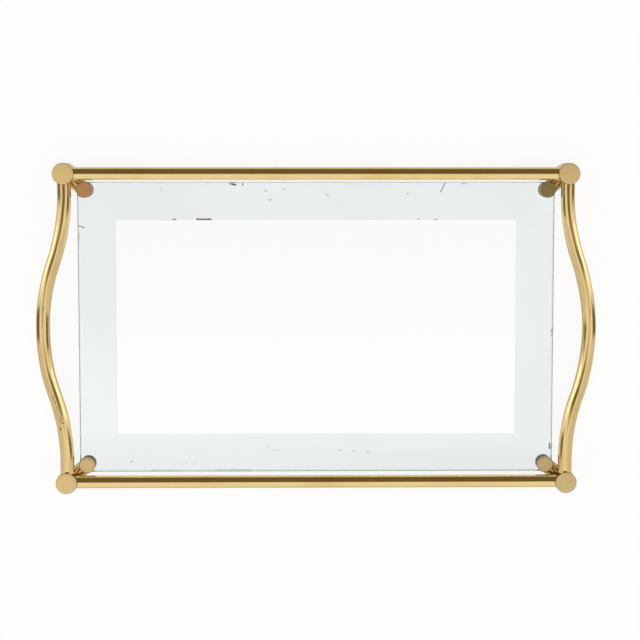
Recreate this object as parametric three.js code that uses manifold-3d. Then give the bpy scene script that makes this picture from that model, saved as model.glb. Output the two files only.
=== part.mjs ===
// Brass gallery tray with a mirror-bordered glass bed.
//
// Two straight rails and two swept handles run between four upright corner posts. Below the
// rails each post carries a short arm, and each arm a slotted clip that holds one corner of the
// glass. The clips stand on rubber feet, so they are what the tray rests on.
//
// Units are millimetres and +Z is up. The rails run along X and the tray's depth along Y.
// The origin is at the middle of the tray, on the table.
import * as THREE from 'three';
import { mergeVertices } from 'three/addons/utils/BufferGeometryUtils.js';
import Module from 'manifold-3d';

const wasm = await Module();
wasm.setup();

// ---- Driving dimensions ----
const POST_SPACING_X = 470;
const POST_SPACING_Y = 290;
const POST_RADIUS = 10;
const POST_BOTTOM = 3;
const POST_TOP = 33;

const GALLERY_HEIGHT = 22.5; // the rails' and handles' axis
const RAIL_RADIUS = 6;
const HANDLE_RADIUS = 6.5;
const TUBE_WALL = 1.5;
const HANDLE_BULGE = 21.5; // how far a handle sweeps out past its posts
const HANDLE_SWEEP_HALF = 127; // from the middle of a handle to where its sweep ends

const CLIP_SPACING_X = 434;
const CLIP_SPACING_Y = 260;
const CLIP_RADIUS = 7.5;
const CLIP_BOTTOM = 1.5;
const CLIP_TOP = 19;
const ARM_RADIUS = 7;

const GLASS_LENGTH = 448;
const GLASS_WIDTH = 274;
const GLASS_THICKNESS = 5;
const GLASS_BOTTOM = 8.5;
const GLASS_ARRIS = 0.5;
const GLASS_CORNER_LEG = 9.6; // each corner is cut off at 45 degrees, out of sight in its clip
const BORDER_WIDTH = 35.5; // silvered border round the clear middle
const BORDER_INSET = 1; // bare glass outside the silvering

const FIT = 0.3; // clearance between two pieces that meet
const CHAMFER = 0.6;
const SIDES = 24;

// ---- Worked out from them ----
const ARM_X = (POST_SPACING_X - CLIP_SPACING_X) / 2;
const ARM_Y = (POST_SPACING_Y - CLIP_SPACING_Y) / 2;
const ARM_REACH = Math.hypot(ARM_X, ARM_Y);
const SLOT_MIDDLE = GLASS_BOTTOM + GLASS_THICKNESS / 2;
const ARM_HEIGHT = SLOT_MIDDLE;
// A tube's square end is let into the post as far as its own edge reaches the post's side.
const RAIL_SEAT = Math.sqrt(POST_RADIUS ** 2 - RAIL_RADIUS ** 2);
const HANDLE_SEAT = Math.sqrt(POST_RADIUS ** 2 - HANDLE_RADIUS ** 2);

// The joints inside a post and a clip, as distances from their axes.
const RAIL_SCREW_RADIUS = 2.4;
const SCREW_HEAD_RADIUS = 4.5;
const SCREW_HEAD_FACE = 8.6;
const SCREW_HEAD_HEIGHT = 3;
const SCREW_END = 20;
const PLUG_LENGTH = 15;
const HANDLE_SPIGOT_RADIUS = 4;
const HANDLE_SPIGOT_END = 4;
const ARM_SPIGOT_RADIUS = 3;
const ARM_SPIGOT_END = 4.3;
const CLIP_SPIGOT_RADIUS = 2.5;
const CLIP_SPIGOT_END = 4.9;
const CLIP_WEB_FACE = 3.8; // the slot stops here, short of the clip's outer side

const LINER_THICKNESS = 0.35;
const LINER_GAP = 0.1;
const FILM_THICKNESS = 0.15;
const FILM_GAP = 0.05;
const FOOT_RADIUS = 5.7;
const FOOT_HEIGHT = 2.4;
const FOOT_RECESS_TOP = 2.7;

const CORNERS = [
  { name: 'front_left', x: -1, y: -1 },
  { name: 'front_right', x: 1, y: -1 },
  { name: 'back_left', x: -1, y: 1 },
  { name: 'back_right', x: 1, y: 1 },
];

// ---- Materials ----
const brass = new THREE.MeshStandardMaterial({ color: 0xd1aa5e, roughness: 0.22, metalness: 1 });
const glass = new THREE.MeshStandardMaterial({
  color: 0xe6f0ec, roughness: 0.03, metalness: 0, transparent: true, opacity: 0.3,
});
const silver = new THREE.MeshStandardMaterial({ color: 0xe4e8e8, roughness: 0.04, metalness: 1 });
const paint = new THREE.MeshStandardMaterial({ color: 0x8b8d8a, roughness: 0.7, metalness: 0 });
const liner = new THREE.MeshStandardMaterial({ color: 0x2b2b2b, roughness: 0.8, metalness: 0 });
const rubber = new THREE.MeshStandardMaterial({ color: 0x1f1f1f, roughness: 0.85, metalness: 0 });

// ---- Shapes ----
// A closed geometry as a solid that can be cut and joined.
function solid(geometry) {
  const bare = geometry.clone();
  bare.deleteAttribute('normal');
  bare.deleteAttribute('uv');
  const merged = mergeVertices(bare, 1e-4);
  return new wasm.Manifold(new wasm.Mesh({
    numProp: 3,
    vertProperties: new Float32Array(merged.attributes.position.array),
    triVerts: new Uint32Array(merged.index.array),
  }));
}

function geometryOf(body) {
  const mesh = body.getMesh();
  const geometry = new THREE.BufferGeometry();
  geometry.setAttribute('position', new THREE.BufferAttribute(mesh.vertProperties, 3));
  geometry.setIndex(new THREE.BufferAttribute(mesh.triVerts, 1));
  geometry.computeVertexNormals();
  return geometry;
}

// A solid of revolution about Z. The profile is [radius, height] pairs, from bottom to top.
function turned(profile, sides = SIDES) {
  const points = profile.map(([radius, height]) => new THREE.Vector2(radius, height));
  return new THREE.LatheGeometry(points, sides).rotateX(Math.PI / 2);
}

// A plain cylinder along an angle in the XY plane, between two distances from the Z axis.
function crossBar(angle, from, to, radius, height) {
  return new THREE.CylinderGeometry(radius, radius, to - from, SIDES)
    .translate(0, (from + to) / 2, 0)
    .rotateZ(angle - Math.PI / 2)
    .translate(0, 0, height);
}

function upright(radius, bottom, top, sides = SIDES) {
  return turned([[0, bottom], [radius, bottom], [radius, top], [0, top]], sides);
}

function chamferedUpright(radius, bottom, top) {
  return turned([
    [0, bottom], [radius - CHAMFER, bottom], [radius, bottom + CHAMFER],
    [radius, top - CHAMFER], [radius - CHAMFER, top], [0, top],
  ]);
}

// A tube's profile, closed on itself, about Z.
function tube(radius, bore, bottom, top) {
  return turned([[bore, bottom], [radius, bottom], [radius, top], [bore, top], [bore, bottom]]);
}

function rectangle(length, width, cornerLeg) {
  const x = length / 2;
  const y = width / 2;
  const shape = new THREE.Shape();
  shape.moveTo(-x + cornerLeg, -y);
  shape.lineTo(x - cornerLeg, -y);
  shape.lineTo(x, -y + cornerLeg);
  shape.lineTo(x, y - cornerLeg);
  shape.lineTo(x - cornerLeg, y);
  shape.lineTo(-x + cornerLeg, y);
  shape.lineTo(-x, y - cornerLeg);
  shape.lineTo(-x, -y + cornerLeg);
  shape.closePath();
  return shape;
}

// ---- Corner post: an upright bar bored for its rail, its handle and its arm ----
function cornerPost(corner) {
  const toRail = Math.atan2(0, -corner.x);
  const toHandle = Math.atan2(-corner.y, 0);
  const toClip = Math.atan2(-corner.y * ARM_Y, -corner.x * ARM_X);
  const out = POST_RADIUS + 1;
  const cuts = [
    crossBar(toRail, RAIL_SEAT - FIT, out, RAIL_RADIUS + FIT, GALLERY_HEIGHT),
    crossBar(toRail, -out, out, RAIL_SCREW_RADIUS + FIT, GALLERY_HEIGHT),
    crossBar(toRail, -out, SCREW_HEAD_HEIGHT - SCREW_HEAD_FACE + FIT,
      SCREW_HEAD_RADIUS + FIT, GALLERY_HEIGHT),
    crossBar(toHandle, HANDLE_SEAT - FIT, out, HANDLE_RADIUS + FIT, GALLERY_HEIGHT),
    crossBar(toHandle, HANDLE_SPIGOT_END - FIT, out, HANDLE_SPIGOT_RADIUS + FIT, GALLERY_HEIGHT),
    crossBar(toClip, ARM_SPIGOT_END - FIT, out, ARM_SPIGOT_RADIUS + FIT, ARM_HEIGHT),
  ];
  const blank = solid(chamferedUpright(POST_RADIUS, POST_BOTTOM, POST_TOP));
  return geometryOf(cuts.reduce((body, cut) => body.subtract(solid(cut)), blank));
}

// ---- Rail: a straight tube with a tapped plug in each end, held by a screw through the post ----
function rail() {
  const end = POST_SPACING_X / 2 - RAIL_SEAT;
  return tube(RAIL_RADIUS, RAIL_RADIUS - TUBE_WALL, -end, end).rotateY(Math.PI / 2);
}

function railPlug() {
  const start = RAIL_SEAT + FIT;
  return tube(RAIL_RADIUS - TUBE_WALL - FIT, RAIL_SCREW_RADIUS + FIT, start, start + PLUG_LENGTH);
}

// A cheese-head screw along Z, its head outside the post's axis and its thread inside the rail.
function railScrew() {
  const underHead = SCREW_HEAD_HEIGHT - SCREW_HEAD_FACE;
  const body = turned([
    [0, -SCREW_HEAD_FACE], [SCREW_HEAD_RADIUS, -SCREW_HEAD_FACE], [SCREW_HEAD_RADIUS, underHead],
    [RAIL_SCREW_RADIUS, underHead], [RAIL_SCREW_RADIUS, SCREW_END - 1],
    [RAIL_SCREW_RADIUS - 1, SCREW_END], [0, SCREW_END],
  ]);
  const slotWidth = 1.2;
  const slotDepth = 1.3;
  const slot = new THREE.BoxGeometry(slotWidth, 3 * SCREW_HEAD_RADIUS, 2 * slotDepth)
    .translate(0, 0, -SCREW_HEAD_FACE);
  return geometryOf(solid(body).subtract(solid(slot)));
}

// ---- Handle: a tube that sweeps out and back in two equal pairs of tangent arcs ----
class HandlePath extends THREE.Curve {
  constructor(side) {
    super();
    this.side = side;
    this.end = POST_SPACING_Y / 2 - HANDLE_SEAT;
    this.arc = (HANDLE_SWEEP_HALF ** 2 + HANDLE_BULGE ** 2) / (4 * HANDLE_BULGE);
  }

  // How far out the path runs at a place along Y: an arc hollow to the tray in the middle half,
  // an arc hollow to the outside beyond it, and straight into the posts.
  sweep(y) {
    const drop = (distance) => this.arc - Math.sqrt(this.arc ** 2 - distance ** 2);
    const along = Math.abs(y);
    if (along > HANDLE_SWEEP_HALF) return 0;
    if (along > HANDLE_SWEEP_HALF / 2) return drop(HANDLE_SWEEP_HALF - along);
    return HANDLE_BULGE - drop(along);
  }

  getPoint(t, target = new THREE.Vector3()) {
    const y = (2 * t - 1) * this.end;
    return target.set(this.side * (POST_SPACING_X / 2 + this.sweep(y)), y, GALLERY_HEIGHT);
  }
}

function handle(side) {
  const section = new THREE.Shape().absarc(0, 0, HANDLE_RADIUS, 0, 2 * Math.PI);
  section.holes.push(new THREE.Path().absarc(0, 0, HANDLE_RADIUS - TUBE_WALL, 0, 2 * Math.PI));
  return new THREE.ExtrudeGeometry(section, {
    extrudePath: new HandlePath(side), steps: 30, curveSegments: 9, bevelEnabled: false,
  });
}

// A stepped plug along Z: its thin end goes into the post and its thick end into the tube.
function handlePlug() {
  const tubeEnd = HANDLE_SEAT;
  const thick = HANDLE_RADIUS - TUBE_WALL - FIT;
  return turned([
    [0, HANDLE_SPIGOT_END], [HANDLE_SPIGOT_RADIUS, HANDLE_SPIGOT_END],
    [HANDLE_SPIGOT_RADIUS, tubeEnd], [thick, tubeEnd],
    [thick, tubeEnd + PLUG_LENGTH - 4], [0, tubeEnd + PLUG_LENGTH - 4],
  ]);
}

// ---- Arm: a bar from post to clip along X, its ends hollowed to sit against both ----
function arm() {
  const post = upright(POST_RADIUS + FIT, 0, POST_TOP);
  const clip = upright(CLIP_RADIUS + FIT, 0, POST_TOP).translate(ARM_REACH, 0, 0);
  const postSpigot = crossBar(0, ARM_SPIGOT_END, ARM_REACH / 2, ARM_SPIGOT_RADIUS, ARM_HEIGHT);
  const clipSpigot = crossBar(0, ARM_REACH / 2, ARM_REACH - CLIP_SPIGOT_END,
    CLIP_SPIGOT_RADIUS, ARM_HEIGHT);
  const body = solid(crossBar(0, 0, ARM_REACH, ARM_RADIUS, ARM_HEIGHT))
    .subtract(solid(post))
    .subtract(solid(clip));
  return geometryOf(body.add(solid(postSpigot)).add(solid(clipSpigot)));
}

// ---- Glass clip: an upright bar, sawn across to take the glass and recessed for its foot ----
// Everything in the slot is cut back to the side that faces the middle of the tray.
function inwardBlock(corner, face, bottom, top) {
  const size = 3 * CLIP_RADIUS;
  return new THREE.BoxGeometry(size, size, top - bottom)
    .translate(size / 2 - face, 0, (bottom + top) / 2)
    .rotateZ(Math.atan2(-corner.y, -corner.x));
}

function glassClip(corner) {
  const slotBottom = GLASS_BOTTOM - LINER_THICKNESS - 2 * LINER_GAP;
  const slotTop = 2 * SLOT_MIDDLE - slotBottom;
  const toPost = Math.atan2(corner.y * ARM_Y, corner.x * ARM_X);
  const cuts = [
    inwardBlock(corner, CLIP_WEB_FACE, slotBottom, slotTop),
    crossBar(toPost, CLIP_SPIGOT_END - FIT, CLIP_RADIUS + 1, CLIP_SPIGOT_RADIUS + FIT, ARM_HEIGHT),
    upright(FOOT_RADIUS + FIT, 0, FOOT_RECESS_TOP),
  ];
  const blank = solid(chamferedUpright(CLIP_RADIUS, CLIP_BOTTOM, CLIP_TOP));
  return geometryOf(cuts.reduce((body, cut) => body.subtract(solid(cut)), blank));
}

// A U-shaped liner keeps the glass off the brass.
function slotLiner(corner) {
  const bottom = GLASS_BOTTOM - LINER_THICKNESS - LINER_GAP;
  const top = 2 * SLOT_MIDDLE - bottom;
  const outside = solid(upright(CLIP_RADIUS - FIT, bottom, top))
    .intersect(solid(inwardBlock(corner, CLIP_WEB_FACE - LINER_GAP, bottom - 1, top + 1)));
  const space = inwardBlock(corner, CLIP_WEB_FACE - LINER_GAP - LINER_THICKNESS,
    GLASS_BOTTOM - LINER_GAP, 2 * SLOT_MIDDLE - GLASS_BOTTOM + LINER_GAP);
  return geometryOf(outside.subtract(solid(space)));
}

function rubberFoot() {
  const edge = 0.5;
  return turned([
    [0, 0], [FOOT_RADIUS - edge, 0], [FOOT_RADIUS, edge], [FOOT_RADIUS, FOOT_HEIGHT],
    [0, FOOT_HEIGHT],
  ]);
}

// ---- Glass bed, with a silvered border under it and paint over the silver ----
function glassBed() {
  const shape = rectangle(GLASS_LENGTH - 2 * GLASS_ARRIS, GLASS_WIDTH - 2 * GLASS_ARRIS,
    GLASS_CORNER_LEG);
  return new THREE.ExtrudeGeometry(shape, {
    depth: GLASS_THICKNESS - 2 * GLASS_ARRIS, bevelEnabled: true, bevelSegments: 1,
    bevelThickness: GLASS_ARRIS, bevelSize: GLASS_ARRIS,
  }).translate(0, 0, GLASS_BOTTOM + GLASS_ARRIS);
}

// A thin frame under the glass, cut away round each clip.
function film(layer) {
  const top = GLASS_BOTTOM - FILM_GAP - layer * (FILM_THICKNESS + FILM_GAP);
  const shape = rectangle(GLASS_LENGTH - 2 * BORDER_INSET, GLASS_WIDTH - 2 * BORDER_INSET,
    GLASS_CORNER_LEG);
  shape.holes.push(
    rectangle(GLASS_LENGTH - 2 * BORDER_WIDTH, GLASS_WIDTH - 2 * BORDER_WIDTH, 1),
  );
  const frame = new THREE.ExtrudeGeometry(shape, { depth: FILM_THICKNESS, bevelEnabled: false })
    .translate(0, 0, top - FILM_THICKNESS);
  const clips = CORNERS.map((corner) => upright(CLIP_RADIUS + FIT, 0, CLIP_TOP, 16)
    .translate(corner.x * CLIP_SPACING_X / 2, corner.y * CLIP_SPACING_Y / 2, 0));
  return geometryOf(clips.reduce((body, clip) => body.subtract(solid(clip)), solid(frame)));
}

// ---- Assembly ----
const tray = new THREE.Group();

function add(name, geometry, material, x = 0, y = 0, z = 0) {
  const mesh = new THREE.Mesh(geometry, material);
  mesh.name = name;
  mesh.position.set(x, y, z);
  tray.add(mesh);
  return mesh;
}

for (const corner of CORNERS) {
  const postX = corner.x * POST_SPACING_X / 2;
  const postY = corner.y * POST_SPACING_Y / 2;
  const clipX = corner.x * CLIP_SPACING_X / 2;
  const clipY = corner.y * CLIP_SPACING_Y / 2;
  const alongRail = -corner.x * Math.PI / 2; // turns +Z towards the other end of the rail
  const alongHandle = corner.y * Math.PI / 2; // turns +Z towards the other end of the handle

  add(`corner_post_${corner.name}`, cornerPost(corner), brass, postX, postY);
  add(`rail_plug_${corner.name}`, railPlug(), brass, postX, postY, GALLERY_HEIGHT)
    .rotation.y = alongRail;
  add(`rail_screw_${corner.name}`, railScrew(), brass, postX, postY, GALLERY_HEIGHT)
    .rotation.y = alongRail;
  add(`handle_plug_${corner.name}`, handlePlug(), brass, postX, postY, GALLERY_HEIGHT)
    .rotation.x = alongHandle;
  add(`clip_arm_${corner.name}`, arm(), brass, postX, postY)
    .rotation.z = Math.atan2(-corner.y * ARM_Y, -corner.x * ARM_X);
  add(`glass_clip_${corner.name}`, glassClip(corner), brass, clipX, clipY);
  add(`slot_liner_${corner.name}`, slotLiner(corner), liner, clipX, clipY);
  add(`rubber_foot_${corner.name}`, rubberFoot(), rubber, clipX, clipY);
}

add('rail_front', rail(), brass, 0, -POST_SPACING_Y / 2, GALLERY_HEIGHT);
add('rail_back', rail(), brass, 0, POST_SPACING_Y / 2, GALLERY_HEIGHT);
add('handle_left', handle(-1), brass);
add('handle_right', handle(1), brass);
add('glass_bed', glassBed(), glass);
add('silvered_border', film(0), silver);
add('border_paint', film(1), paint);

export default tray;
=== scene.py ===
"""Brass gallery tray: the fine surfaces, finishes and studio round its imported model.

Every brass piece is a surface worked out from the box of the node it stands for: a profile
turned about an upright axis, or a ring carried along a path. Lengths are metres.
"""

from math import pi, radians

import bpy
import numpy as np
from bpy.props import (
    FloatProperty,
    FloatVectorProperty,
    IntProperty,
    PointerProperty,
)
from mathutils import Matrix, Vector


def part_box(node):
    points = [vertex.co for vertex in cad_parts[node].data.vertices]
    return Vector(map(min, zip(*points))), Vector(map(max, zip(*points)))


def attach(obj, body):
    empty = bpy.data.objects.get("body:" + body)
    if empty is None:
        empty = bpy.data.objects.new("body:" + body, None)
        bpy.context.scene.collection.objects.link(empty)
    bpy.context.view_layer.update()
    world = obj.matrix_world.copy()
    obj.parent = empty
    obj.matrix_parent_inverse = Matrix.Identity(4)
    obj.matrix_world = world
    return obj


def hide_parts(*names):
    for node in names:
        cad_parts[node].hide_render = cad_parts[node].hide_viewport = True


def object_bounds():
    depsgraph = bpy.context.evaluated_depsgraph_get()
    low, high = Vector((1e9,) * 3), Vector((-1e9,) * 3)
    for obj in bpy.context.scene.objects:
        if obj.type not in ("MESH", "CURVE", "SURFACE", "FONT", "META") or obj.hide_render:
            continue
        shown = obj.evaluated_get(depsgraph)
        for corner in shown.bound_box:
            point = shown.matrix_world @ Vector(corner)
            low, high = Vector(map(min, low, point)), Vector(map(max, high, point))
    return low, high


bl_info = {
    "name": "Gallery Tray",
    "version": (1, 0, 0),
    "blender": (4, 5, 0),
    "location": "View3D > Sidebar > Tray",
    "description": "Makes the pieces, finishes and studio of a brass gallery tray",
    "category": "Object",
}

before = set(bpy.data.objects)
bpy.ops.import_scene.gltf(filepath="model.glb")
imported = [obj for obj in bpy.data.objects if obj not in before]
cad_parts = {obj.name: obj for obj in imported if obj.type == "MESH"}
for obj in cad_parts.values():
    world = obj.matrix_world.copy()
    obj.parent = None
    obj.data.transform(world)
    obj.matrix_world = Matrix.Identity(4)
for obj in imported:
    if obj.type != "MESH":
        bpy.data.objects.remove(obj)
CAD_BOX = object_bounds()

MM = 0.001
SEAM = 0.05 * MM  # between pieces that meet
BORE_FIT = 0.3 * MM  # round a pin or a foot in its bore
LINER_GAP = 0.1 * MM  # above and below the liner in a clip's slot
TUBE_WALL = 1.5 * MM
SCREW_HEAD_HEIGHT = 3.0 * MM
SCREW_SHANK = 2.4 * MM  # radius
HANDLE_SPIGOT = 4.0 * MM  # radius of the plug's end that enters the post
SADDLE_FADE = 6.0 * MM  # a tube's last stretch, where its rings bend to meet the post
SADDLE_ROWS = 7.0 * MM  # the stretch at each end of a tube that has closely spaced rings
BAR_FADE = 4.0 * MM  # the same for a solid bar, for both
SLOT_HEART = 1.8 * MM  # how far inside a clip's web the slot's points are drawn towards
SLOT_STEP = 0.12 * MM  # keeps two rings apart where the slot doesn't reach
FOOT_RIM = 0.6 * MM  # radius of the moulded rim round the foot's lower face
FOOT_TOP_RIM = 0.2 * MM
MARK_CORE = 0.45  # a mark is at its full depth within this share of its half width
FLOOR_WHITE = 1.06  # brightness of the washed-out floor
FLOOR_LIFT = 0.3  # and what is added to it through the glass, which dims it

# Each corner's name, and the sides of the tray that it is on along X and Y.
CORNERS = [
    ("front_left", -1, -1),
    ("front_right", 1, -1),
    ("back_left", -1, 1),
    ("back_right", 1, 1),
]

# How far the brass has darkened: below 0 towards copper, above 0 darker and greener.
# The posts and the clips' ends have darkened with age.
POST_TONE = {"front_left": 0.08, "front_right": 0.26, "back_left": 0.0, "back_right": 0.16}
POST_SIDE_SHARE = 0.6  # a post's side has aged this much of what its end has
CLIP_TONE = {"front_left": 0.12, "front_right": 0.36, "back_left": -1.0, "back_right": 1.0}
# The clips' sides are darkened towards dark brass as painted shade, where they sit low between
# post, arm and glass.
CLIP_SIDE_SHADE = 0.81
# The arms are darkened as painted shade, for the shade they lie in between post and clip.
ARM_SHADE = {"front_left": 0.3, "front_right": 0.6, "back_left": 0.3, "back_right": 0.6}

# Worn places in the silvering: both ends of each in mm, half its width in mm, and its depth.
SILVER_MARKS = [
    # Along the edges of the back border
    (-134.5, 102, -132.5, 102, 0.9, 1.0), (-112, 102, -99, 102, 1.4, 1.0),
    (96, 103, 97, 102, 0.7, 0.8), (111, 102, 114, 102, 0.6, 0.8),
    (-81, 135.5, -76, 134.5, 1.2, 1.0), (-69, 136, -69, 134, 0.7, 1.0),
    (121, 136, 117, 128, 0.9, 0.7), (137, 136, 141, 135.5, 0.8, 0.5),
    # Along the left and right edges
    (-223, 96, -218, 94.5, 0.8, 0.9), (-223, 89, -223, 82, 0.7, 0.7),
    (223, -2.5, 223, -4.5, 1.0, 1.0), (223, -7, 223, -8, 0.9, 1.0),
    (222.5, -111.5, 222.5, -115.5, 1.4, 1.0),
    # Along the front edge
    (-157, -136, -132, -136, 0.6, 0.7), (-96, -136, -62, -136, 0.7, 0.8),
    # Specks in the back border, then in the front border
    (-146, 129, -145, 132, 0.7, 0.3), (-48, 129, -47.5, 128.5, 1.0, 0.4),
    (-44, 120.5, -42.5, 120.5, 1.4, 0.4), (-31.5, 131, -29.5, 130, 0.8, 0.4),
    (85, 126.5, 86.5, 127, 0.7, 0.4), (10.5, 125.5, 11, 124.5, 1.3, 0.35),
    (-176, -128, -175.5, -128, 0.9, 0.7), (-124, -128, -123.5, -128.5, 0.8, 0.4),
    (-116, -128.5, -115.5, -128.5, 0.8, 0.5), (-46.5, -113, -46, -113.5, 0.9, 0.5),
    (-41, -117, -34.5, -117, 0.5, 0.4), (20.5, -117, 24, -117, 0.7, 0.5),
    (35, -118, 35.5, -118, 0.9, 0.5), (47, -119, 52, -119, 0.5, 0.4),
]

# Scratches and knocks in the handles, as seen from above, in the same form.
HANDLE_MARKS = [
    (-247.0, -61.5, -246.0, -66.0, 0.45, 0.9), (-245.5, -66.5, -242.0, -76.5, 0.45, 1.0),
    (-242.0, -77.0, -239.5, -88.0, 0.5, 1.0), (-240.5, -92.5, -240.0, -94.5, 0.7, 1.0),
    (-238.5, -88.5, -236.5, -88.0, 0.6, 0.8), (-254.5, 22.0, -255.0, 17.0, 0.4, 0.6),
    (-241.5, 51.0, -242.5, 49.5, 0.6, 0.6), (-249.5, -33.0, -249.0, -37.0, 0.4, 0.4),
    (256.5, 20.0, 256.5, 12.0, 0.35, 0.4), (247.5, -62.0, 247.0, -64.5, 0.5, 0.5),
]


# ---- Settings ----
def length_property(name, description, default_mm):
    return FloatProperty(name=name, description=description, default=default_mm * MM,
                         min=0.0, unit="LENGTH", subtype="DISTANCE", precision=5)


def colour_property(name, description, default):
    return FloatVectorProperty(name=name, description=description, default=default,
                               min=0.0, max=1.0, size=3, subtype="COLOR")


def share_property(name, description, default):
    return FloatProperty(name=name, description=description, default=default,
                         min=0.0, max=1.0, subtype="FACTOR")


class TRAY_PG_shape(bpy.types.PropertyGroup):
    """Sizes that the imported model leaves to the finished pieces."""
    arris: length_property("Arris", "Radius on the rims of the posts and clips", 0.9)
    crown: length_property("Crown", "How far a post's top stands up in its middle", 0.12)
    tube_sides: IntProperty(name="Tube Sides", description="Faces round a tube", default=72, min=24)
    turned_sides: IntProperty(name="Turned Sides", description="Faces round a turned piece",
                              default=112, min=32)
    sweep_half: length_property("Handle Sweep", "From a handle's middle to its sweep's end", 127.0)
    hand_bend: length_property("Hand Bend", "Depth of the slight waves left by bending", 0.10)
    web_face: length_property("Clip Web", "From a clip's axis to the end of its slot", 3.8)
    glass_corner: length_property("Glass Corner", "Leg of the cut across a glass corner", 9.6)
    glass_arris: length_property("Glass Arris", "Width of the ground arris on the glass", 0.6)


class TRAY_PG_finish(bpy.types.PropertyGroup):
    """Colours and gloss."""
    brass: colour_property("Brass", "Clean polished brass", (0.93, 0.70, 0.33))
    brass_deep: colour_property("Aged Brass", "Brass that has deepened", (0.82, 0.56, 0.22))
    copper: colour_property("Coppery Brass", "Ends that have turned coppery", (0.55, 0.27, 0.10))
    # The same dark brass also paints shade on the arms and the clips' sides.
    olive_and_shade: colour_property("Olive Brass", "Ends that have turned dark", (0.25, 0.185, 0.07))
    # This dark colour also paints the shade line on the turned pieces' arrises.
    scratch_and_shade: colour_property("Scratch", "Dirt held in a scratch", (0.12, 0.075, 0.03))
    polish: share_property("Polish", "Roughness of the polished tubes", 0.115)
    satin: share_property("Satin", "Roughness of the brushed ends", 0.36)
    silver: colour_property("Silver", "Clean silvering", (0.912, 0.935, 0.941))
    foxing: colour_property("Foxing", "Where silver has gone", (0.05, 0.04, 0.022))
    glass: colour_property("Glass", "Tint of the glass", (0.983, 0.99, 0.985))
    glass_edge: colour_property("Glass Edge", "Tint at the ground edges", (0.24, 0.31, 0.25))
    paint: colour_property("Backing Paint", "Paint over the silver", (0.30, 0.31, 0.30))
    rubber: colour_property("Rubber", "Feet and liners", (0.028, 0.028, 0.03))


class TRAY_PG_stage(bpy.types.PropertyGroup):
    """Camera, light and floor."""
    lens: FloatProperty(name="Lens", description="Focal length", default=100.0, min=10.0,
                        unit="CAMERA")
    eye: FloatVectorProperty(name="Eye", description="Where the camera stands",
                             default=(-0.0200, 0.1530, 1.6845), subtype="TRANSLATION", size=3)
    target: FloatVectorProperty(name="Target", description="What the camera looks at",
                                default=(0.0036, 0.0062, 0.0), subtype="TRANSLATION", size=3)
    floor: colour_property("Floor", "Pale floor", (0.88, 0.88, 0.88))
    floor_glow: share_property("Floor Glow", "How far the floor is washed out to white", 0.8)
    floor_size: length_property("Floor Size", "Length of the floor's side", 24000.0)
    softbox: FloatProperty(name="Softbox", description="Brightness of the large front light",
                           default=0.88, min=0.0)
    window: FloatProperty(name="Side Windows", description="Brightness of the two side lights",
                          default=1.5, min=0.0)
    room: colour_property("Room", "Dim warm room between the lights", (0.15, 0.12, 0.07))
    ground: colour_property("Ground", "Pale ground, as bright pieces mirror it", (0.66, 0.65, 0.62))
    ceiling: colour_property("Ceiling", "What the silvering mirrors", (1.0, 1.0, 1.0))
    backdrop: colour_property("Backdrop", "What shows behind the tray", (0.93, 0.93, 0.93))
    fill: FloatProperty(name="Fill", description="Strength of the overhead fill",
                        default=0.9, min=0.0)


def shape():
    return bpy.context.scene.tray_shape


def finish():
    return bpy.context.scene.tray_finish


def studio():
    return bpy.context.scene.tray_stage


# ---- Surfaces ----
def grid_faces(rows, columns, looped=False):
    """Quads of a grid whose columns close into rings. Vertex (row, column) is at
    row * columns + column. Rings that turn left about the way that the rows go give faces that
    point outwards. looped joins the last row to the first."""
    row, column = np.meshgrid(np.arange(rows - (not looped)), np.arange(columns), indexing="ij")
    low, high = row * columns, (row + 1) % rows * columns
    beside = (column + 1) % columns
    return np.stack([low + column, low + beside, high + beside, high + column], -1).reshape(-1, 4)


def closed_surface(name, rings, local=None, sharp=32.0, looped=False):
    """A closed mesh from rings, an array of rows by columns by 3. Its ends are closed by fans to
    the middles of the first and last rings, or its last ring is joined to its first. local gives
    each vertex its place on the straightened piece, which the finishes read. Edges that turn by
    more than sharp degrees show as sharp."""
    rows, columns, _ = rings.shape
    points, places = rings.reshape(-1, 3), (rings if local is None else local).reshape(-1, 3)
    faces = grid_faces(rows, columns, looped).tolist()
    if not looped:
        column = np.arange(columns)
        beside = (column + 1) % columns
        top = (rows - 1) * columns
        ends = np.full((2, columns), rows * columns) + [[0], [1]]
        faces += np.stack([ends[0], beside, column], -1).tolist()
        faces += np.stack([ends[1], top + column, top + beside], -1).tolist()
        points = np.vstack([points, points[:columns].mean(0), points[-columns:].mean(0)])
        places = np.vstack([places, places[:columns].mean(0), places[-columns:].mean(0)])
    mesh = bpy.data.meshes.new(name)
    mesh.from_pydata(points.tolist(), [], faces)
    piece = bpy.data.objects.new(name, mesh)
    bpy.context.scene.collection.objects.link(piece)
    write_local(mesh, places)
    mesh.shade_smooth()
    mesh.set_sharp_from_angle(angle=radians(sharp))
    return piece


def write_local(mesh, places):
    """Stores each vertex's place on the straightened piece."""
    old = mesh.attributes.get("local")
    if old is not None:
        mesh.attributes.remove(old)
    made = mesh.attributes.new("local", "FLOAT_VECTOR", "POINT")
    made.data.foreach_set("vector", np.asarray(places, np.float32).ravel())


def vertices_of(mesh):
    """A mesh's vertices as an array of rows of three."""
    points = np.zeros(len(mesh.vertices) * 3, np.float32)
    mesh.vertices.foreach_get("co", points)
    return points.reshape(-1, 3).astype(float)


def angles(count):
    """Evenly spaced angles round a full turn."""
    return np.linspace(0, 2 * pi, count, endpoint=False)


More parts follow.
